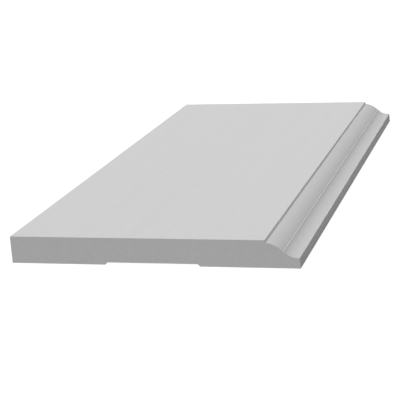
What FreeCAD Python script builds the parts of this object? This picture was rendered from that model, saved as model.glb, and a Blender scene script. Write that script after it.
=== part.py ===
# Skirting board length: one planed and moulded board, cut square at both ends.
#
# The board lies on its back, as it leaves the moulder. Y runs along the board, Z points out
# of its face, and +X points to the moulded edge, which is the top edge once it is on a wall.
# The origin is at the middle of the back, on the plane that the board rests on.
#
# Across the moulded edge, from the flat face outwards, the section has a small leaning step
# (the quirk), a convex quarter (the ovolo), a narrow flat (the fillet), a hollow (the cove)
# that runs out level into a short land, and the thin lip. The back has one wide, shallow
# relief, so that the board bears on its two margins only.
import FreeCAD, Part
import math
import os
import Sketcher

# Driving sizes, in millimetres. The sheet in the document holds the same values.
SIZES = {
    # The board as a planed blank
    "board_length": 334.0,
    "board_width": 152.4,
    "board_thickness": 14.3,
    # The moulded edge, from the end of the flat face out to the foot of the lip
    "moulding_width": 17.5,
    "quirk_depth": 1.3,
    "quirk_lean": 0.5,
    "ovolo_radius": 14.0,
    "fillet_width": 0.4,
    "cove_radius": 9.0,
    "cove_rise": 3.25,
    "lip_land": 1.0,
    "lip_thickness": 5.4,
    "lip_lean": 0.25,
    # The relief in the back, measured in the plane of the back
    "relief_width": 50.2,
    "relief_depth": 1.25,
    "relief_side_run": 1.2,
    # The rounding that takes the sharpness off the long outer corners
    "arris_radius": 0.1,
}

NODE = "skirting_board"
SAME_PLACE = 0.01
FAILED_STATES = ("Invalid", "Error")

# Which end of a line or an arc a constraint holds, and a sketch's own origin
START, END, CENTRE = 1, 2, 3
SKETCH_ORIGIN = (-1, 1)


def make_sheet(doc):
    """The spreadsheet of driving sizes: a name in column A, its value in column B."""
    sheet = doc.addObject("Spreadsheet::Sheet", "sizes")
    for row, (name, value) in enumerate(SIZES.items(), start=1):
        sheet.set(f"A{row}", name)
        sheet.set(f"B{row}", str(value))
        sheet.setAlias(f"B{row}", name)
    doc.recompute()
    return sheet


def new_section(body, name):
    """An empty sketch on the body's own XZ plane: across the board and out of its face."""
    sketch = body.newObject("Sketcher::SketchObject", name)
    planes = {feature.Role: feature for feature in body.Origin.OriginFeatures}
    sketch.AttachmentSupport = [(planes["XZ_Plane"], "")]
    sketch.MapMode = "FlatFace"
    return sketch


def add_line(sketch, start, end):
    """A straight edge between two (x, z) points. Gives its number in the sketch."""
    line = Part.LineSegment(FreeCAD.Vector(*start, 0), FreeCAD.Vector(*end, 0))
    return sketch.addGeometry(line, False)


def add_arc(sketch, centre, start, end):
    """A counter-clockwise arc about a centre between two (x, z) points."""
    hub = FreeCAD.Vector(*centre, 0)
    radius = math.dist(centre, start)
    angles = [math.atan2(z - centre[1], x - centre[0]) for x, z in (start, end)]
    circle = Part.Circle(hub, FreeCAD.Vector(0, 0, 1), radius)
    return sketch.addGeometry(Part.ArcOfCircle(circle, *angles), False)


def tie(sketch, *arguments):
    """Adds one geometric constraint, such as Coincident or Horizontal."""
    return sketch.addConstraint(Sketcher.Constraint(*arguments))


def measure(sketch, name, formula, kind, *arguments):
    """Adds one named dimension and binds it to a formula of the sheet's sizes."""
    value = float(sketch.evalExpression(formula))
    number = sketch.addConstraint(Sketcher.Constraint(kind, *arguments, value))
    sketch.renameConstraint(number, name)
    sketch.setExpression(f"Constraints.{name}", formula)


def join_loop(sketch, ends):
    """Ties each edge's last point to the next edge's first, round a closed loop."""
    for (edge, _, last), (following, first, _) in zip(ends, ends[1:] + ends[:1]):
        tie(sketch, "Coincident", edge, last, following, first)


def planed_blank(body, sheet):
    """The rectangular blank that the board is moulded from, at its full length."""
    half_width = sheet.board_width / 2
    corners = [
        (-half_width, 0.0),
        (half_width, 0.0),
        (half_width, sheet.board_thickness),
        (-half_width, sheet.board_thickness),
    ]
    sketch = new_section(body, "blank_section")
    sides = [add_line(sketch, a, b) for a, b in zip(corners, corners[1:] + corners[:1])]
    back, right, face, left = sides
    join_loop(sketch, [(side, START, END) for side in sides])
    for side in (back, face):
        tie(sketch, "Horizontal", side)
    for side in (right, left):
        tie(sketch, "Vertical", side)
    tie(sketch, "Symmetric", back, START, back, END, *SKETCH_ORIGIN)
    measure(sketch, "width", "sizes.board_width", "DistanceX", back, START, back, END)
    measure(sketch, "thickness", "sizes.board_thickness", "DistanceY", right, START, right, END)

    pad = body.newObject("PartDesign::Pad", "planed_blank")
    pad.Profile = sketch
    pad.SideType = "Symmetric"
    pad.setExpression("Length", "sizes.board_length")
    return pad


def moulding_corners(sheet):
    """The named corners of the moulded edge, as (x, z), worked out from the sizes."""
    half_width = sheet.board_width / 2
    quirk_top = (half_width - sheet.moulding_width, sheet.board_thickness)
    quirk_foot = (quirk_top[0] + sheet.quirk_lean, quirk_top[1] - sheet.quirk_depth)
    lip = (half_width - sheet.lip_lean, sheet.lip_thickness)
    cove_end = (lip[0] - sheet.lip_land, lip[1])
    cove_centre = (cove_end[0], cove_end[1] + sheet.cove_radius)
    fillet_height = cove_end[1] + sheet.cove_rise
    cove_run = math.sqrt(sheet.cove_radius**2 - (cove_centre[1] - fillet_height) ** 2)
    fillet_outer = (cove_end[0] - cove_run, fillet_height)
    fillet_inner = (fillet_outer[0] - sheet.fillet_width, fillet_height)
    return {
        "quirk_top": quirk_top,
        "quirk_foot": quirk_foot,
        "ovolo_centre": arc_centre(fillet_inner, quirk_foot, sheet.ovolo_radius),
        "fillet_inner": fillet_inner,
        "fillet_outer": fillet_outer,
        "cove_centre": cove_centre,
        "cove_end": cove_end,
        "lip": lip,
    }


def arc_centre(start, end, radius):
    """The centre of the counter-clockwise arc of less than half a turn between two points."""
    chord = math.dist(start, end)
    off_chord = math.sqrt(radius**2 - (chord / 2) ** 2)
    across = ((end[0] - start[0]) / chord, (end[1] - start[1]) / chord)
    middle = ((start[0] + end[0]) / 2, (start[1] + end[1]) / 2)
    return (middle[0] - across[1] * off_chord, middle[1] + across[0] * off_chord)


def moulded_edge(body, sheet):
    """Cuts the quirk, ovolo, fillet, cove, land and lip along the +X edge of the blank."""
    at = moulding_corners(sheet)
    # The cutter's outline runs past the blank by the board's thickness on its open sides.
    beyond = sheet.board_thickness
    outside = sheet.board_width / 2 + beyond
    lip_foot = (sheet.board_width / 2 + beyond * sheet.lip_lean / sheet.lip_thickness, -beyond)
    low, high = (outside, -beyond), (outside, sheet.board_thickness + beyond)
    above_quirk = (at["quirk_top"][0], high[1])

    sketch = new_section(body, "moulded_edge_section")
    entry = add_line(sketch, above_quirk, at["quirk_top"])
    quirk = add_line(sketch, at["quirk_top"], at["quirk_foot"])
    ovolo = add_arc(sketch, at["ovolo_centre"], at["fillet_inner"], at["quirk_foot"])
    fillet = add_line(sketch, at["fillet_inner"], at["fillet_outer"])
    cove = add_arc(sketch, at["cove_centre"], at["fillet_outer"], at["cove_end"])
    land = add_line(sketch, at["cove_end"], at["lip"])
    lip_face = add_line(sketch, at["lip"], lip_foot)
    below = add_line(sketch, lip_foot, low)
    side = add_line(sketch, low, high)
    above = add_line(sketch, high, above_quirk)
    after_ovolo = (fillet, cove, land, lip_face, below, side, above)
    forwards = [(edge, START, END) for edge in after_ovolo]
    join_loop(sketch, [(entry, START, END), (quirk, START, END), (ovolo, END, START), *forwards])

    for edge in (entry, side):
        tie(sketch, "Vertical", edge)
    for edge in (fillet, land, below, above):
        tie(sketch, "Horizontal", edge)
    # The cove runs out level into the land, so its centre is straight above its end.
    tie(sketch, "Vertical", cove, CENTRE, cove, END)

    origin = SKETCH_ORIGIN
    half = "sizes.board_width / 2"
    thick = "sizes.board_thickness"
    measure(sketch, "quirk_top_x", f"{half} - sizes.moulding_width", "DistanceX", *origin, quirk, START)
    measure(sketch, "face_height", thick, "DistanceY", *origin, quirk, START)
    measure(sketch, "quirk_lean", "sizes.quirk_lean", "DistanceX", quirk, START, quirk, END)
    measure(sketch, "quirk_depth", "sizes.quirk_depth", "DistanceY", quirk, END, quirk, START)
    measure(sketch, "ovolo_radius", "sizes.ovolo_radius", "Radius", ovolo)
    measure(sketch, "fillet_width", "sizes.fillet_width", "DistanceX", fillet, START, fillet, END)
    measure(sketch, "cove_radius", "sizes.cove_radius", "Radius", cove)
    measure(sketch, "cove_rise", "sizes.cove_rise", "DistanceY", cove, END, cove, START)
    measure(sketch, "lip_land", "sizes.lip_land", "DistanceX", land, START, land, END)
    measure(sketch, "lip_x", f"{half} - sizes.lip_lean", "DistanceX", *origin, land, END)
    measure(sketch, "lip_height", "sizes.lip_thickness", "DistanceY", *origin, land, END)
    lean = f"{thick} * sizes.lip_lean / sizes.lip_thickness"
    measure(sketch, "lip_foot_x", f"{half} + {lean}", "DistanceX", *origin, lip_face, END)
    measure(sketch, "below_back", thick, "DistanceY", lip_face, END, *origin)
    measure(sketch, "outside_x", f"{half} + {thick}", "DistanceX", *origin, side, START)
    measure(sketch, "above_face", f"2 * {thick}", "DistanceY", *origin, side, END)
    return cut_along_board(body, sketch, "moulded_edge")


def back_relief(body, sheet):
    """Cuts the wide, shallow relief with its sloping sides along the middle of the back."""
    half_mouth = sheet.relief_width / 2
    half_floor = half_mouth - sheet.relief_side_run
    depth = sheet.relief_depth
    corners = [
        (-half_mouth, -depth),
        (half_mouth, -depth),
        (half_mouth, 0.0),
        (half_floor, depth),
        (-half_floor, depth),
        (-half_mouth, 0.0),
    ]
    sketch = new_section(body, "back_relief_section")
    sides = [add_line(sketch, a, b) for a, b in zip(corners, corners[1:] + corners[:1])]
    mouth, right, right_slope, floor, left_slope, left = sides
    join_loop(sketch, [(side, START, END) for side in sides])
    for side in (mouth, floor):
        tie(sketch, "Horizontal", side)
    for side in (right, left):
        tie(sketch, "Vertical", side)
    # Both lips of the relief are in the plane of the back, evenly about its middle.
    tie(sketch, "Symmetric", right, END, left, START, *SKETCH_ORIGIN)
    tie(sketch, "Horizontal", right, END, left, START)
    mouth_width = "sizes.relief_width"
    measure(sketch, "mouth_width", mouth_width, "DistanceX", mouth, START, mouth, END)
    floor_width = f"{mouth_width} - 2 * sizes.relief_side_run"
    measure(sketch, "floor_width", floor_width, "DistanceX", floor, END, floor, START)
    run = "sizes.relief_side_run"
    measure(sketch, "side_run", run, "DistanceX", right_slope, END, right_slope, START)
    rise = "sizes.relief_depth"
    measure(sketch, "depth", rise, "DistanceY", right_slope, START, right_slope, END)
    measure(sketch, "below_back", rise, "DistanceY", right, START, right, END)
    return cut_along_board(body, sketch, "back_relief")


def cut_along_board(body, sketch, name):
    """Cuts a section through the whole length, and makes sure that it took wood away."""
    before = body.Tip.Shape.Volume
    pocket = body.newObject("PartDesign::Pocket", name)
    pocket.Profile = sketch
    pocket.Type = "ThroughAll"
    pocket.SideType = "Symmetric"
    body.Document.recompute()
    if not pocket.Shape.Volume < before:
        raise RuntimeError(f"{name} cut nothing")
    return pocket


def eased_arrises(body, sheet):
    """Rounds the long outer corners, which are sanded before the board is finished."""
    board = body.Tip
    edges = board.Shape.Edges
    half_width = sheet.board_width / 2
    at = moulding_corners(sheet)
    corners = [
        (-half_width, 0.0),
        (-half_width, sheet.board_thickness),
        at["quirk_top"],
        at["lip"],
        (half_width, 0.0),
    ]
    names = []
    for corner in corners:
        found = [f"Edge{n}" for n, e in enumerate(edges, start=1) if runs_through(e, corner)]
        if len(found) != 1:
            raise RuntimeError(f"{len(found)} long edges run through {corner}")
        names += found
    fillet = body.newObject("PartDesign::Fillet", "eased_arrises")
    fillet.Base = (board, names)
    fillet.setExpression("Radius", "sizes.arris_radius")
    return fillet


def runs_through(edge, corner):
    """Whether both ends of an edge stand at this (x, z) corner of the section."""
    places = [(vertex.X, vertex.Z) for vertex in edge.Vertexes]
    return len(places) == 2 and all(math.dist(place, corner) < SAME_PLACE for place in places)


def check(doc, body):
    """Stops the build if a feature failed or the board isn't one sound solid."""
    for item in doc.Objects:
        if any(state in item.State for state in FAILED_STATES):
            raise RuntimeError(f"{item.Label} failed: {item.State}")
    for sketch in doc.findObjects("Sketcher::SketchObject"):
        if not sketch.FullyConstrained:
            raise RuntimeError(f"{sketch.Label} isn't fully constrained")
    shape = body.Shape
    if shape.isNull() or not shape.isValid() or len(shape.Solids) != 1:
        raise RuntimeError(f"{body.Label} isn't one valid solid")


def build():
    """Makes the document and gives it back with its one body."""
    doc = FreeCAD.newDocument("skirting_board_length")
    sheet = make_sheet(doc)
    body = doc.addObject("PartDesign::Body", NODE)
    body.Label = NODE
    planed_blank(body, sheet)
    doc.recompute()
    moulded_edge(body, sheet)
    back_relief(body, sheet)
    eased_arrises(body, sheet)
    doc.recompute()
    check(doc, body)
    return doc, body


def main():
    doc, body = build()
    os.makedirs("parts", exist_ok=True)
    body.Shape.exportStep(os.path.join("parts", f"{body.Label}.step"))
    box = body.Shape.BoundBox
    print(f"{body.Label}: {box.XLength:.2f} x {box.YLength:.2f} x {box.ZLength:.2f} mm")
    print(f"{body.Label}: {body.Shape.Volume / 1000:.2f} cm3, {len(body.Shape.Faces)} faces")


if __name__ == "__main__":
    main()
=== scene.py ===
"""A primed skirting board length, laid on its back on a plain white studio floor.

The board is one planed and moulded piece of wood under a thin coat of pale grey primer. Y runs
along it, X across it towards the moulded edge, and Z out of its face, in metres. Its flat face,
its moulded edge, its sawn ends and its back were each cut in another way and took the primer
in another way, so each has a finish of its own. The moulded edge's grey is also set darker than
the face's as painted shade, and more painted shade darkens the corner where its hollow starts.
"""

import logging
import math
from collections.abc import Callable
from dataclasses import dataclass, field
from enum import Enum, IntEnum

import bmesh
import bpy
from mathutils import Matrix, Vector

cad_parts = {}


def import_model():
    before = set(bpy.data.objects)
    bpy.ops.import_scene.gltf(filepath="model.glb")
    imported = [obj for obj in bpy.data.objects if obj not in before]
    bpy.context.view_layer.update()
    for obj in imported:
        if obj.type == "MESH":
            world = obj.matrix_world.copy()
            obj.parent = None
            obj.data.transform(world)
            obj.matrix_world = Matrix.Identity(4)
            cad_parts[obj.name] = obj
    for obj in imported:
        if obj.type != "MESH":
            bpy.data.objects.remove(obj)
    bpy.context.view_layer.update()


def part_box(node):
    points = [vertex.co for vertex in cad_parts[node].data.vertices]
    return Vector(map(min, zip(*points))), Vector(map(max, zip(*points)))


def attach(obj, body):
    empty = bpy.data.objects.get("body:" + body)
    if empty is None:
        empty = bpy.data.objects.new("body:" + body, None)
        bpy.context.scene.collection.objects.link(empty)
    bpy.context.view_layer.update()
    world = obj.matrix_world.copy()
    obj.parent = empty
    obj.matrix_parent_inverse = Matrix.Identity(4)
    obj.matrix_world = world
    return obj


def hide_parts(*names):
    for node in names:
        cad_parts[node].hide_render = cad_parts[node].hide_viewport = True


LOG = logging.getLogger("skirting_board")
MM = 0.001
SAME_PLACE = 0.01 * MM


class Surface(IntEnum):
    """The board's surfaces, in the order of the piece's material slots."""

    FACE = 0
    MOULDING = 1
    SAWN_END = 2
    BACK = 3


class Output(Enum):
    """What an effect can put out, and the socket that carries it."""

    HEIGHT = "Height"
    MASK = "Mask"


Sockets = dict[Output, bpy.types.NodeSocket]


class NodeSheet:
    """Adds nodes to one node tree and joins them."""

    def __init__(self, tree: bpy.types.NodeTree) -> None:
        """Empties the tree that the nodes go in.

        Args:
            tree: The material's, world's or group's node tree.
        """
        self.tree = tree
        tree.nodes.clear()

    def add(self, kind: str, inputs: dict | None = None, **settings: object) -> bpy.types.Node:
        """Adds one node.

        Args:
            kind: The node's Blender type.
            inputs: Input names or numbers, each with a value or with a socket to join.
            settings: The node's own properties.

        Returns:
            The new node.
        """
        node = self.tree.nodes.new(kind)
        for name, value in settings.items():
            setattr(node, name, value)
        for name, value in (inputs or {}).items():
            if isinstance(value, bpy.types.NodeSocket):
                self.tree.links.new(value, node.inputs[name])
            else:
                node.inputs[name].default_value = value
        return node

    def math(self, operation: str, *values: object) -> bpy.types.NodeSocket:
        """Adds a Math node over numbers and sockets, and gives its result."""
        inputs = dict(enumerate(values))
        return self.add("ShaderNodeMath", inputs, operation=operation).outputs[0]

    def mean(self, *values: bpy.types.NodeSocket) -> bpy.types.NodeSocket:
        """Adds the nodes that give the mean of several sockets.

        Args:
            values: The sockets, two or more.

        Returns:
            The mean's socket.
        """
        total = values[0]
        for value in values[1:]:
            total = self.math("ADD", total, value)
        return self.math("DIVIDE", total, len(values))

    def spread(self, value: bpy.types.NodeSocket, low: float, high: float) -> bpy.types.NodeSocket:
        """Spreads a value between 0 and 1 over the range from low to high."""
        inputs = {"Value": value, "To Min": low, "To Max": high}
        return self.add("ShaderNodeMapRange", inputs).outputs["Result"]


class Effect:
    """A pattern that any of the board's finishes can use, as one shader node group."""

    name: str
    sizes: dict[str, float]

    def pattern(self, sheet: NodeSheet, given: bpy.types.Node) -> Sockets:
        """Draws the pattern inside the group.

        Args:
            sheet: The group's own node sheet.
            given: The group's input node.

        Returns:
            The socket to put out for each output.
        """
        raise NotImplementedError

    def group(self) -> bpy.types.NodeTree:
        """Gives the effect's node group, and makes it the first time."""
        made = bpy.data.node_groups.get(self.name)
        if made is not None:
            return made
        tree = bpy.data.node_groups.new(self.name, "ShaderNodeTree")
        tree.interface.new_socket("Place", in_out="INPUT", socket_type="NodeSocketVector")
        for name, size in self.sizes.items():
            socket = tree.interface.new_socket(name, in_out="INPUT", socket_type="NodeSocketFloat")
            socket.default_value = size
        sheet = NodeSheet(tree)
        results = self.pattern(sheet, sheet.add("NodeGroupInput"))
        for output in results:
            tree.interface.new_socket(output.value, in_out="OUTPUT", socket_type="NodeSocketFloat")
        sheet.add("NodeGroupOutput", {output.value: socket for output, socket in results.items()})
        return tree

    def place(
        self, sheet: NodeSheet, place: bpy.types.NodeSocket, **sizes: float
    ) -> bpy.types.Node:
        """Puts the effect in a material.

        Args:
            sheet: The material's node sheet.
            place: The object coordinates.
            sizes: Sizes that differ from the effect's own, with _ for each space in a name.

        Returns:
            The group node.
        """
        inputs = {"Place": place}
        inputs.update({name.replace("_", " "): size for name, size in sizes.items()})
        return sheet.add("ShaderNodeGroup", inputs, node_tree=self.group())


class SprayedStipple(Effect):
    """The fine orange peel of a primer that was sprayed on and flowed out a little."""

    name = "sprayed_stipple"
    sizes = {"Cell": 0.9 * MM}
    slow_scale: float = 0.04

    def pattern(self, sheet: NodeSheet, given: bpy.types.Node) -> Sockets:
        """Draws soft round bumps, with slow thick and thin places in the coat."""
        per_metre = sheet.math("DIVIDE", 1.0, given.outputs["Cell"])
        fine = sheet.add(
            "ShaderNodeTexNoise",
            {
                "Vector": given.outputs["Place"],
                "Scale": per_metre,
                "Detail": 1.5,
                "Roughness": 0.45,
            },
        )
        slow = sheet.add(
            "ShaderNodeTexNoise",
            {
                "Vector": given.outputs["Place"],
                "Scale": sheet.math("MULTIPLY", per_metre, self.slow_scale),
                "Detail": 3.0,
                "Roughness": 0.55,
            },
        )
        return {Output.HEIGHT: fine.outputs["Fac"], Output.MASK: slow.outputs["Fac"]}


class RaisedGrain(Effect):
    """The long grain of the wood, which the first wet coat raised a little."""

    name = "raised_grain"
    sizes = {"Across": 2.6 * MM, "Along": 210 * MM}

    def pattern(self, sheet: NodeSheet, given: bpy.types.Node) -> Sockets:
        """Draws streaks that run along the board, wander a little and differ in strength."""
        across = sheet.math("DIVIDE", 1.0, given.outputs["Across"])
        along = sheet.math("DIVIDE", 1.0, given.outputs["Along"])
        cells = sheet.add("ShaderNodeCombineXYZ", {"X": across, "Y": along, "Z": across})
        place = sheet.add(
            "ShaderNodeVectorMath",
            {0: given.outputs["Place"], 1: cells.outputs["Vector"]},
            operation="MULTIPLY",
        )
        streaks = sheet.add(
            "ShaderNodeTexNoise",
            {
                "Vector": place.outputs[0],
                "Scale": 1.0,
                "Detail": 4.0,
                "Roughness": 0.6,
                "Distortion": 0.35,
            },
        )
        streak = streaks.outputs["Fac"]
        mask = sheet.add(
            "ShaderNodeMapRange",
            {"Value": streak, "From Min": 0.3, "From Max": 0.7},
            interpolation_type="SMOOTHSTEP",
        )
        return {Output.HEIGHT: streak, Output.MASK: mask.outputs["Result"]}


class CutterMarks(Effect):
    """What a planer or moulder leaves: ripples from its knives, and lines from their nicks."""

    name = "cutter_marks"
    sizes = {"Ripple": 1.7 * MM, "Nick": 0.45 * MM}
    ripple_share: float = 0.125

    def pattern(self, sheet: NodeSheet, given: bpy.types.Node) -> Sockets:
        """Draws even ripples across the board, and fine lines along it that never end."""
        parts = sheet.add("ShaderNodeSeparateXYZ", {0: given.outputs["Place"]})
        turns = sheet.math("DIVIDE", parts.outputs["Y"], given.outputs["Ripple"])
        wave = sheet.math("SINE", sheet.math("MULTIPLY", turns, math.tau))
        flat = sheet.add(
            "ShaderNodeCombineXYZ", {"X": parts.outputs["X"], "Y": 0.0, "Z": parts.outputs["Z"]}
        )
        nicks = sheet.add(
            "ShaderNodeTexNoise",
            {
                "Vector": flat.outputs["Vector"],
                "Scale": sheet.math("DIVIDE", 1.0, given.outputs["Nick"]),
                "Detail": 2.0,
                "Roughness": 0.7,
            },
        )
        line = nicks.outputs["Fac"]
        height = sheet.math("MULTIPLY_ADD", wave, self.ripple_share, line)
        return {Output.HEIGHT: height, Output.MASK: line}


class SawMarks(Effect):
    """The shallow arcs of a circular saw on a cut end, over short fuzzy end grain."""

    name = "saw_marks"
    sizes = {"Pitch": 1.1 * MM, "Blade": 125 * MM, "Fibre": 0.35 * MM}
    blade_aside: float = 0.4
    fibre_share: float = 0.6

    def pattern(self, sheet: NodeSheet, given: bpy.types.Node) -> Sockets:
        """Draws uneven arcs about the blade's centre, which is below one side of the board."""
        parts = sheet.add("ShaderNodeSeparateXYZ", {0: given.outputs["Place"]})
        blade = given.outputs["Blade"]
        off = sheet.math("MULTIPLY_ADD", blade, self.blade_aside, parts.outputs["X"])
        up = sheet.math("ADD", parts.outputs["Z"], blade)
        squares = sheet.math("MULTIPLY_ADD", off, off, sheet.math("MULTIPLY", up, up))
        radius = sheet.math("SQRT", squares)
        rings = sheet.add(
            "ShaderNodeTexNoise",
            {
                "W": sheet.math("DIVIDE", radius, given.outputs["Pitch"]),
                "Scale": 1.0,
                "Detail": 2.0,
                "Roughness": 0.6,
            },
            noise_dimensions="1D",
        )
        fibres = sheet.add(
            "ShaderNodeTexNoise",
            {
                "Vector": given.outputs["Place"],
                "Scale": sheet.math("DIVIDE", 1.0, given.outputs["Fibre"]),
                "Detail": 2.0,
                "Roughness": 0.6,
            },
        )
        fibre = fibres.outputs["Fac"]
        height = sheet.math("MULTIPLY_ADD", fibre, self.fibre_share, rings.outputs["Fac"])
        return {Output.HEIGHT: height, Output.MASK: fibre}


class PaintedCreaseShade(Effect):
    """Painted shade in the corner where the moulding's hollow starts, darkest at the corner."""

    name = "painted_crease_shade"
    sizes = {"Corner": 0.0, "Reach": 2.2 * MM}

    def pattern(self, sheet: NodeSheet, given: bpy.types.Node) -> Sockets:
        """Draws painted shade that is darkest at the corner and fades out away from the flat face.
        """
        parts = sheet.add("ShaderNodeSeparateXYZ", {0: given.outputs["Place"]})
        off = sheet.math("SUBTRACT", parts.outputs["X"], given.outputs["Corner"])
        thinning = sheet.add(
            "ShaderNodeMapRange",
            {"Value": off, "From Max": given.outputs["Reach"], "To Min": 1.0, "To Max": 0.0},
            interpolation_type="SMOOTHSTEP",
        )
        beyond = sheet.math("GREATER_THAN", off, 0.0)
        return {Output.MASK: sheet.math("MULTIPLY", thinning.outputs["Result"], beyond)}


@dataclass(frozen=True)
class Primer:
    """How the grey primer lies on one of the board's surfaces.

    The colour is the coat's own, where it is full. The shade is the share by which the grain and
    the thin places darken it at the most. Painted shade in the corner of the moulding's hollow
    turns at the most the given share of the colour to its own grey. The heights are in metres.
    """

    name: str
    colour: float
    roughness: float
    shade: float
    stipple_height: float
    grain_height: float
    tool: Effect
    tool_height: float
    painted_shade: float = 0.0
    painted_shade_grey: float = 0.35
    roughness_spread: float = 0.06
    specular: float = 0.25

    def material(self, corner: float) -> bpy.types.Material:
        """Makes the surface's material.

        Args:
            corner: How far across the board the corner is where the painted shade is darkest.

        Returns:
            The new material.
        """
        made = bpy.data.materials.new(self.name)
        made.use_nodes = True
        sheet = NodeSheet(made.node_tree)
        place = sheet.add("ShaderNodeTexCoord").outputs["Object"]
        stipple = SprayedStipple().place(sheet, place)
        grain = RaisedGrain().place(sheet, place)
        marks = self.tool.place(sheet, place)

        coat = sheet.mean(*(layer.outputs["Mask"] for layer in (grain, stipple, marks)))
        thin = plain_grey(self.colour * (1 - self.shade))
        colour = blend(sheet, coat, thin, plain_grey(self.colour))
        # Painted shade: darkens the colour towards a grey in the corner where the moulding's
        # hollow starts.
        if self.painted_shade:
            crease_shade = PaintedCreaseShade().place(sheet, place, Corner=corner)
            share = sheet.math("MULTIPLY", crease_shade.outputs["Mask"], self.painted_shade)
            colour = blend(sheet, share, colour, plain_grey(self.painted_shade_grey))

        height = sheet.math("MULTIPLY", stipple.outputs["Height"], self.stipple_height)
        height = sheet.math("MULTIPLY_ADD", grain.outputs["Height"], self.grain_height, height)
        height = sheet.math("MULTIPLY_ADD", marks.outputs["Height"], self.tool_height, height)
        bump = sheet.add("ShaderNodeBump", {"Strength": 1.0, "Distance": 1.0, "Height": height})

        low = self.roughness - self.roughness_spread
        high = self.roughness + self.roughness_spread
        shader = sheet.add(
            "ShaderNodeBsdfPrincipled",
            {
                "Base Color": colour,
                "Roughness": sheet.spread(coat, high, low),
                "Normal": bump.outputs["Normal"],
                "Specular IOR Level": self.specular,
            },
        )
        sheet.add("ShaderNodeOutputMaterial", {"Surface": shader.outputs["BSDF"]})
        return made


FINISHES = {
    Surface.FACE: Primer(
        name="primed_face",
        colour=0.616,
        roughness=0.66,
        shade=0.04,
        stipple_height=0.05 * MM,
        grain_height=0.07 * MM,
        tool=CutterMarks(),
        tool_height=0.005 * MM,
    ),
    Surface.MOULDING: Primer(
        name="primed_moulding",
        # Painted shade: the grey is set darker than the face's to stand in for shade the lamps do
        # not give the moulding.
        colour=0.557,
        roughness=0.68,
        shade=0.06,
        stipple_height=0.03 * MM,
        grain_height=0.03 * MM,
        tool=CutterMarks(),
        tool_height=0.01 * MM,
        # Painted shade in the corner where the hollow starts, beside the narrow flat.
        painted_shade=0.22,
    ),
    Surface.SAWN_END: Primer(
        name="primed_sawn_end",
        colour=0.658,
        roughness=0.72,
        shade=0.1,
        stipple_height=0.02 * MM,
        grain_height=0.0,
        tool=SawMarks(),
        tool_height=0.04 * MM,
    ),
    Surface.BACK: Primer(
        name="primed_back",
        colour=0.62,
        roughness=0.7,
        shade=0.14,
        stipple_height=0.03 * MM,
        grain_height=0.08 * MM,
        tool=CutterMarks(),
        tool_height=0.02 * MM,
    ),
}


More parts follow.
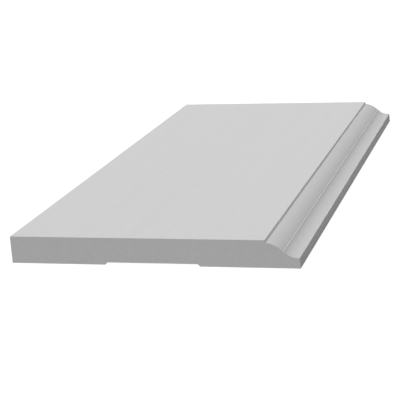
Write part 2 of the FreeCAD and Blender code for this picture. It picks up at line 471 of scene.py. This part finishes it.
@dataclass
class SkirtingBoard:
    """The board: one section, run to its length and cut square at both ends.

    The section's corners are (x, z) places. It is drawn on the near end as a hand would draw it,
    from the square edge round by the face and the moulding to the back. A surface is a sawn end
    or the back where its normal points that way by more than facing.
    """

    low: Vector
    high: Vector
    moulding_width: float = 17.5 * MM
    quirk_depth: float = 1.3 * MM
    quirk_lean: float = 0.5 * MM
    ovolo_radius: float = 14.0 * MM
    fillet_width: float = 0.4 * MM
    cove_radius: float = 9.0 * MM
    cove_rise: float = 3.25 * MM
    lip_land: float = 1.0 * MM
    lip_thickness: float = 5.4 * MM
    lip_lean: float = 0.25 * MM
    relief_width: float = 50.2 * MM
    relief_depth: float = 1.25 * MM
    relief_side_run: float = 1.2 * MM
    arris_radius: float = 0.1 * MM
    arc_steps: int = 20
    arris_steps: int = 4
    smooth_under: float = math.radians(35)
    facing: float = 0.6
    finishes: dict[Surface, Primer] = field(default_factory=lambda: dict(FINISHES))

    def build(self) -> bpy.types.Object:
        """Models and dresses the board.

        Returns:
            The finished piece.
        """
        board = self._flat_section()
        self._moulded_edge(board)
        self._relieved_back(board)
        self._run_to_length()
        self._eased_arrises(board)
        bpy.ops.object.mode_set(mode="OBJECT")
        self._even_shading()
        self._dress(board)
        return board

    def _flat_section(self) -> bpy.types.Object:
        """Starts the section as the plain rectangle under the flat face, on the near end.

        Returns:
            The new piece, in edit mode.
        """
        width = self._quirk_top[0] - self.low.x
        height = self.high.z - self.low.z
        centre = (self.low.x + width / 2, self.low.y, self.low.z + height / 2)
        bpy.ops.object.select_all(action="DESELECT")
        bpy.ops.mesh.primitive_plane_add(
            size=1.0, location=centre, rotation=(math.radians(90), 0.0, 0.0)
        )
        board = bpy.context.object
        board.name = "primed_board"
        board.scale = (width, height, 1.0)
        bpy.ops.object.transform_apply(location=True, rotation=True, scale=True)
        bpy.ops.object.mode_set(mode="EDIT")
        bpy.ops.mesh.select_mode(type="VERT")
        return board

    def _moulded_edge(self, board: bpy.types.Object) -> None:
        """Draws the quirk, ovolo, fillet, cove, land and lip on from the end of the flat face.

        Args:
            board: The piece, in edit mode.
        """
        floor = (self._quirk_top[0], self.low.z)
        select_vertices(board, lambda place: is_at(place, floor))
        bpy.ops.mesh.delete(type="VERT")
        select_vertices(board, lambda place: is_at(place, self._quirk_top))
        extrude_to(self._quirk_top, self._quirk_foot)
        spin_to(
            self._quirk_foot, self._fillet_inner, self._ovolo_centre, self.low.y, self.arc_steps
        )
        extrude_to(self._fillet_inner, self._fillet_outer)
        spin_to(self._fillet_outer, self._cove_end, self._cove_centre, self.low.y, self.arc_steps)
        extrude_to(self._cove_end, self._lip)
        extrude_to(self._lip, self._lip_foot)

    def _relieved_back(self, board: bpy.types.Object) -> None:
        """Draws the back with its relief, and closes the section to the square edge.

        Args:
            board: The piece, in edit mode, with the foot of the lip selected. Not used.
        """
        half_mouth = self.relief_width / 2
        half_floor = half_mouth - self.relief_side_run
        back = self.low.z
        corners = [
            self._lip_foot,
            (half_mouth, back),
            (half_floor, back + self.relief_depth),
            (-half_floor, back + self.relief_depth),
            (-half_mouth, back),
            (self.low.x, back),
        ]
        for start, end in zip(corners, corners[1:]):
            extrude_to(start, end)
        bpy.ops.mesh.select_all(action="SELECT")
        bpy.ops.mesh.remove_doubles(threshold=SAME_PLACE)
        bpy.ops.mesh.edge_face_add()

    def _run_to_length(self) -> None:
        """Runs the closed section along the board, from the near end to the far one."""
        bpy.ops.mesh.select_all(action="SELECT")
        length = self.high.y - self.low.y
        bpy.ops.mesh.extrude_region_move(TRANSFORM_OT_translate={"value": (0.0, length, 0.0)})
        bpy.ops.mesh.select_all(action="SELECT")
        bpy.ops.mesh.normals_make_consistent(inside=False)

    def _eased_arrises(self, board: bpy.types.Object) -> None:
        """Rounds the long outer corners.

        Args:
            board: The piece, in edit mode.
        """
        bpy.ops.mesh.select_mode(type="EDGE")
        corners = [
            (self.low.x, self.low.z),
            (self.low.x, self.high.z),
            self._quirk_top,
            self._lip,
            self._lip_foot,
        ]
        select_long_edges(board, corners)
        bpy.ops.mesh.bevel(
            offset_type="OFFSET",
            offset=self.arris_radius,
            segments=self.arris_steps,
            profile=0.5,
            affect="EDGES",
            clamp_overlap=False,
        )

    def _even_shading(self) -> None:
        """Shades the arcs and roundings smooth, and keeps the flats flat right up to them."""
        bpy.ops.object.shade_smooth_by_angle(angle=self.smooth_under)
        bpy.ops.object.modifier_add(type="WEIGHTED_NORMAL")
        weighted = bpy.context.object.modifiers[-1]
        weighted.mode = "FACE_AREA"
        weighted.weight = 100
        weighted.keep_sharp = True
        bpy.ops.object.modifier_apply(modifier=weighted.name)

    def _dress(self, board: bpy.types.Object) -> None:
        """Gives each surface of the board its finish.

        Args:
            board: The finished mesh, in object mode.
        """
        board.data.materials.clear()
        for surface in Surface:
            board.data.materials.append(self.finishes[surface].material(self._fillet_outer[0]))
        for face in board.data.polygons:
            face.material_index = self._surface_of(face)

    def _surface_of(self, face: bpy.types.MeshPolygon) -> Surface:
        """Says which of the board's surfaces a face belongs to.

        Args:
            face: A face of the finished mesh.

        Returns:
            The surface.
        """
        if abs(face.normal.y) > self.facing:
            return Surface.SAWN_END
        if face.normal.z < -self.facing:
            return Surface.BACK
        if face.center.x > self._quirk_top[0] + SAME_PLACE:
            return Surface.MOULDING
        return Surface.FACE

    @property
    def _quirk_top(self) -> tuple[float, float]:
        """Where the flat face ends."""
        return (-self.low.x - self.moulding_width, self.high.z)

    @property
    def _quirk_foot(self) -> tuple[float, float]:
        """The foot of the small leaning step beside the flat face."""
        return (self._quirk_top[0] + self.quirk_lean, self.high.z - self.quirk_depth)

    @property
    def _lip(self) -> tuple[float, float]:
        """The lip's upper corner."""
        return (-self.low.x - self.lip_lean, self.low.z + self.lip_thickness)

    @property
    def _lip_foot(self) -> tuple[float, float]:
        """The lip's corner on the back."""
        return (-self.low.x, self.low.z)

    @property
    def _cove_end(self) -> tuple[float, float]:
        """Where the cove runs out level into the land beside the lip's upper corner."""
        return (self._lip[0] - self.lip_land, self._lip[1])

    @property
    def _cove_centre(self) -> tuple[float, float]:
        """The cove's centre, straight above its level end."""
        return (self._cove_end[0], self._cove_end[1] + self.cove_radius)

    @property
    def _fillet_outer(self) -> tuple[float, float]:
        """Where the narrow flat meets the cove."""
        drop = self.cove_radius - self.cove_rise
        run = math.sqrt(self.cove_radius**2 - drop**2)
        return (self._cove_end[0] - run, self._cove_end[1] + self.cove_rise)

    @property
    def _fillet_inner(self) -> tuple[float, float]:
        """Where the convex quarter meets the narrow flat."""
        return (self._fillet_outer[0] - self.fillet_width, self._fillet_outer[1])

    @property
    def _ovolo_centre(self) -> tuple[float, float]:
        """The centre of the convex quarter, below its two ends."""
        start, end = Vector(self._quirk_foot), Vector(self._fillet_inner)
        chord = end - start
        off_chord = math.sqrt(self.ovolo_radius**2 - (chord.length / 2) ** 2)
        across = Vector((chord.y, -chord.x)).normalized()
        centre = (start + end) / 2 + across * off_chord
        return (centre.x, centre.y)


@dataclass
class Studio:
    """The plain white room: a floor, an even sky, one soft key light and one from below.

    The camera sees floor and sky as plain white, with a faint shadow where the board keeps the
    light off the floor. The board is lit by a dimmer floor and sky. The floor is open under the
    board, where nothing from above can see it, so that the light from below reaches the back.
    A light is written as the way to it from the board, and the size of its Z is how bright it
    alone makes a level white surface.
    """

    board_low: Vector
    board_high: Vector
    floor_size: float = 8.0
    opening_inset: float = 0.2 * MM
    floor_drop: float = 0.02 * MM
    floor_white: float = 0.88
    shadow_share: float = 0.2
    floor_bounce: float = 0.275
    sky: float = 0.36
    under_sky: float = 0.45
    key: Vector = field(default_factory=lambda: Vector((-0.105, -0.238, 0.64)))
    under_key: Vector = field(default_factory=lambda: Vector((0.40, 0.10, -0.45)))
    softness: float = math.radians(12)

    def build(self) -> None:
        """Makes the floor, the sky and both lights."""
        self._floor()
        self._sky()
        self._light("key_light", self.key)
        self._light("under_light", self.under_key)

    def _floor(self) -> None:
        """Makes the floor, open under the board."""
        bpy.ops.object.select_all(action="DESELECT")
        height = self.board_low.z - self.floor_drop
        bpy.ops.mesh.primitive_plane_add(size=self.floor_size, location=(0.0, 0.0, height))
        floor = bpy.context.object
        floor.name = "studio_floor"
        bpy.ops.object.transform_apply(location=True, rotation=True, scale=True)
        inset = Vector((self.opening_inset, self.opening_inset, 0.0))
        low = self.board_low + inset
        high = self.board_high - inset
        across = (1.0, 0.0, 0.0)
        along = (0.0, 1.0, 0.0)
        bpy.ops.object.mode_set(mode="EDIT")
        for edge, normal in ((low, across), (high, across), (low, along), (high, along)):
            bpy.ops.mesh.select_all(action="SELECT")
            bpy.ops.mesh.bisect(plane_co=(edge.x, edge.y, height), plane_no=normal)
        select_faces(floor, lambda place: low.x < place.x < high.x and low.y < place.y < high.y)
        bpy.ops.mesh.delete(type="FACE")
        bpy.ops.object.mode_set(mode="OBJECT")
        floor.data.materials.append(self._floor_material())

    def _floor_material(self) -> bpy.types.Material:
        """Makes the floor white to the camera, and a dim matt grey to the light.

        Returns:
            The new material.
        """
        made = bpy.data.materials.new("white_floor")
        made.use_nodes = True
        sheet = NodeSheet(made.node_tree)
        white = sheet.add("ShaderNodeEmission", {"Strength": self.floor_white})
        shadow = sheet.add("ShaderNodeBsdfDiffuse", {"Color": plain_grey(self.shadow_share)})
        seen = sheet.add("ShaderNodeAddShader", {0: white.outputs[0], 1: shadow.outputs[0]})
        bounce = sheet.add("ShaderNodeBsdfDiffuse", {"Color": plain_grey(self.floor_bounce)})
        looks = sheet.add(
            "ShaderNodeMixShader",
            {0: seen_share(sheet), 1: bounce.outputs[0], 2: seen.outputs[0]},
        )
        behind = sheet.add("ShaderNodeNewGeometry").outputs["Backfacing"]
        clear = sheet.add("ShaderNodeBsdfTransparent")
        one_sided = sheet.add(
            "ShaderNodeMixShader", {0: behind, 1: looks.outputs[0], 2: clear.outputs[0]}
        )
        sheet.add("ShaderNodeOutputMaterial", {"Surface": one_sided.outputs[0]})
        return made

    def _sky(self) -> None:
        """Makes the sky white to the camera, and a dim even grey to the light."""
        world = bpy.data.worlds.new("even_sky")
        world.use_nodes = True
        bpy.context.scene.world = world
        sheet = NodeSheet(world.node_tree)
        place = sheet.add("ShaderNodeTexCoord").outputs["Generated"]
        up = sheet.add("ShaderNodeSeparateXYZ", {0: place}).outputs["Z"]
        above = sheet.math("GREATER_THAN", up, 0.0)
        strength = sheet.spread(above, self.under_sky, self.sky)
        dim = sheet.add("ShaderNodeBackground", {"Strength": strength})
        white = sheet.add("ShaderNodeBackground", {"Strength": 1.0})
        for background in (dim, white):
            background.inputs["Color"].default_value = plain_grey(1.0)
        looks = sheet.add(
            "ShaderNodeMixShader",
            {0: seen_share(sheet), 1: dim.outputs[0], 2: white.outputs[0]},
        )
        sheet.add("ShaderNodeOutputWorld", {"Surface": looks.outputs[0]})

    def _light(self, name: str, towards: Vector) -> None:
        """Makes one soft light, far away.

        Args:
            name: The light's name.
            towards: The way to it from the board. The longer this is, the stronger the light.
        """
        data = bpy.data.lights.new(name, type="SUN")
        data.energy = towards.length * math.pi
        data.angle = self.softness
        light = bpy.data.objects.new(name, data)
        light.rotation_mode = "QUATERNION"
        light.rotation_quaternion = towards.to_track_quat("Z", "Y")
        bpy.context.scene.collection.objects.link(light)


@dataclass(frozen=True)
class Viewpoint:
    """Where the camera stands and how it is turned.

    The azimuth turns it from looking along the board towards its square edge, the elevation is
    how far it looks down, and the roll is about its own line of sight, in degrees.
    """

    place: tuple[float, float, float] = (0.20346, -0.76509, 0.20431)
    azimuth: float = 16.397
    elevation: float = 15.231
    roll: float = -4.067
    lens: float = 118.34
    sensor: float = 36.0

    def build(self) -> None:
        """Makes the camera and hands it to the scene."""
        data = bpy.data.cameras.new("camera")
        data.sensor_width = self.sensor
        data.lens = self.lens
        camera = bpy.data.objects.new("camera", data)
        camera.matrix_world = Matrix.Translation(self.place) @ self._turn()
        bpy.context.scene.collection.objects.link(camera)
        bpy.context.scene.camera = camera

    def _turn(self) -> Matrix:
        """Gives the camera's rotation.

        Returns:
            A four by four rotation matrix.
        """
        level = Matrix.Rotation(math.radians(90 - self.elevation), 4, "X")
        heading = Matrix.Rotation(math.radians(self.azimuth), 4, "Z")
        return heading @ level @ Matrix.Rotation(math.radians(self.roll), 4, "Z")


def plain_grey(level: float) -> tuple[float, float, float, float]:
    """Gives an even grey as a full colour."""
    return (level, level, level, 1.0)


def blend(
    sheet: NodeSheet, share: bpy.types.NodeSocket, first: object, second: object
) -> bpy.types.NodeSocket:
    """Blends one colour into another.

    Args:
        sheet: The material's node sheet.
        share: How much there is of the second colour.
        first: A colour, or the socket of one.
        second: A colour, or the socket of one.

    Returns:
        The blended colour's socket.
    """
    inputs = {"Factor": share, "A": first, "B": second}
    return sheet.add("ShaderNodeMix", inputs, data_type="RGBA").outputs["Result"]


def seen_share(sheet: NodeSheet) -> bpy.types.NodeSocket:
    """Says whether a ray comes from the camera, straight or by a reflection or clear body.

    Args:
        sheet: The node sheet of a material or the world.

    Returns:
        A socket that is 1 for such a ray and 0 for one that carries light.
    """
    path = sheet.add("ShaderNodeLightPath")
    straight = path.outputs["Is Camera Ray"]
    mirrored = sheet.math("MAXIMUM", straight, path.outputs["Is Glossy Ray"])
    return sheet.math("MAXIMUM", mirrored, path.outputs["Is Transmission Ray"])


def is_at(place: Vector, corner: tuple[float, float]) -> bool:
    """Says whether a place stands at an (x, z) corner of the section."""
    return math.hypot(place.x - corner[0], place.z - corner[1]) < SAME_PLACE


def select_vertices(piece: bpy.types.Object, test: Callable[[Vector], bool]) -> None:
    """Selects only the vertices that pass a test.

    Args:
        piece: An object in edit mode.
        test: Takes a vertex's place.
    """
    bpy.ops.mesh.select_all(action="DESELECT")
    mesh = bmesh.from_edit_mesh(piece.data)
    for vertex in mesh.verts:
        vertex.select_set(test(vertex.co))
    mesh.select_flush_mode()
    bmesh.update_edit_mesh(piece.data)


def select_faces(piece: bpy.types.Object, test: Callable[[Vector], bool]) -> None:
    """Selects only the faces whose middle passes a test.

    Args:
        piece: An object in edit mode.
        test: Takes the middle of a face.
    """
    bpy.ops.mesh.select_all(action="DESELECT")
    bpy.ops.mesh.select_mode(type="FACE")
    mesh = bmesh.from_edit_mesh(piece.data)
    for face in mesh.faces:
        face.select_set(test(face.calc_center_median()))
    mesh.select_flush_mode()
    bmesh.update_edit_mesh(piece.data)


def select_long_edges(piece: bpy.types.Object, corners: list[tuple[float, float]]) -> None:
    """Selects only the edges that run along the board at corners of its section.

    Args:
        piece: An object in edit mode.
        corners: The (x, z) corners.
    """
    bpy.ops.mesh.select_all(action="DESELECT")
    mesh = bmesh.from_edit_mesh(piece.data)
    for edge in mesh.edges:
        start, end = (vertex.co for vertex in edge.verts)
        edge.select_set(any(is_at(start, corner) and is_at(end, corner) for corner in corners))
    mesh.select_flush_mode()
    bmesh.update_edit_mesh(piece.data)


def extrude_to(start: tuple[float, float], end: tuple[float, float]) -> None:
    """Draws a straight edge on from the selected vertex.

    Args:
        start: The (x, z) corner that the vertex stands at.
        end: The (x, z) corner that the edge runs to.
    """
    move = (end[0] - start[0], 0.0, end[1] - start[1])
    bpy.ops.mesh.extrude_region_move(TRANSFORM_OT_translate={"value": move})


def spin_to(
    start: tuple[float, float],
    end: tuple[float, float],
    centre: tuple[float, float],
    depth: float,
    steps: int,
) -> None:
    """Draws an arc on from the selected vertex.

    Args:
        start: The (x, z) corner that the vertex stands at.
        end: The (x, z) corner that the arc runs to.
        centre: The arc's (x, z) centre.
        depth: The y of the section.
        steps: How many straight steps the arc has.
    """
    first = math.atan2(start[1] - centre[1], start[0] - centre[0])
    last = math.atan2(end[1] - centre[1], end[0] - centre[0])
    bpy.ops.mesh.spin(
        steps=steps,
        angle=last - first,
        center=(centre[0], depth, centre[1]),
        axis=(0.0, 1.0, 0.0),
    )


def main() -> None:
    """Builds the board, the studio and the camera."""
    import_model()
    low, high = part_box("skirting_board")
    board = SkirtingBoard(low=low, high=high).build()
    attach(board, "root")
    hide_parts("skirting_board")
    LOG.info("%s: %d faces", board.name, len(board.data.polygons))
    Studio(board_low=low, board_high=high).build()
    Viewpoint().build()
    bpy.context.scene.view_settings.view_transform = "Standard"


if __name__ == "__main__":
    logging.basicConfig(level=logging.INFO)
    main()
